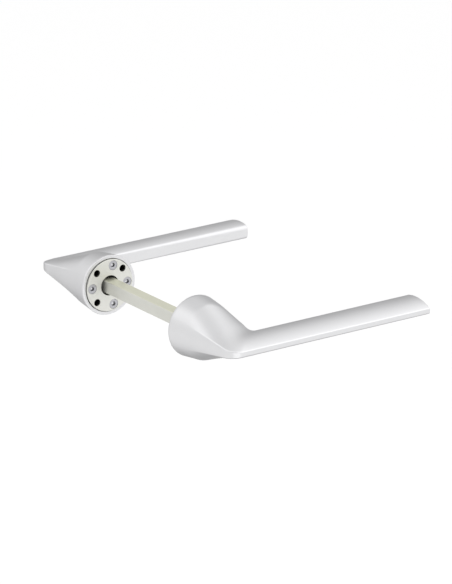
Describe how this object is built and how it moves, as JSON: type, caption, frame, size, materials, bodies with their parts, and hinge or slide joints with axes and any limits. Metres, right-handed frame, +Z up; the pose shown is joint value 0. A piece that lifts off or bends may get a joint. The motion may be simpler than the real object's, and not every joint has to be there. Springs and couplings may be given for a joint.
{
  "type": "lever handle set",
  "caption": "Pair of lever door handles on a square spindle, each with a tapered round neck, a lens-section bar and a sprung fixing plate behind the rose.",
  "frame": {"origin": "on the spindle axis, midway between the two door faces", "axes": "+X along the levers to their free ends, +Y along the spindle to the rear lever, +Z up"},
  "size_m": [0.1492, 0.21, 0.038],
  "materials": {
    "lever_metal": "satin",
    "plate_metal": "fine turned",
    "housing_metal": "black anodised",
    "screw_steel": "zinc plated",
    "spindle_steel": "zinc plated, drawn",
    "hub_dark": "black",
    "spring_steel": "oiled",
    "washer_steel": "plain",
    "nylon": "natural"
  },
  "bodies": {
    "door_fixings": {"front_mounting_plate": "plate_metal", "front_plate_screws": "screw_steel", "front_spring_housing": "housing_metal", "front_return_spring": "spring_steel", "front_hub_bush": "nylon", "front_thrust_washer": "washer_steel", "front_glide_ring": "nylon", "rear_mounting_plate": "plate_metal", "rear_plate_screws": "screw_steel", "rear_spring_housing": "housing_metal", "rear_return_spring": "spring_steel", "rear_hub_bush": "nylon", "rear_thrust_washer": "washer_steel", "rear_glide_ring": "nylon"},
    "levers_and_spindle": {"spindle": "spindle_steel", "front_lever": "lever_metal", "front_drive_hub": "hub_dark", "front_grub_screw": "screw_steel", "rear_lever": "lever_metal", "rear_drive_hub": "hub_dark", "rear_grub_screw": "screw_steel"}
  },
  "joints": [
    {"name": "lever_turn", "type": "hinge", "parent": "door_fixings", "child": "levers_and_spindle", "pos_m": [0, 0, 0], "axis": [0, 1, 0], "range_deg": [0, 45], "stiffness_Nm_per_rad": 1.5, "springref_deg": -20.05, "deforming": ["front_return_spring", "rear_return_spring"]}
  ]
}
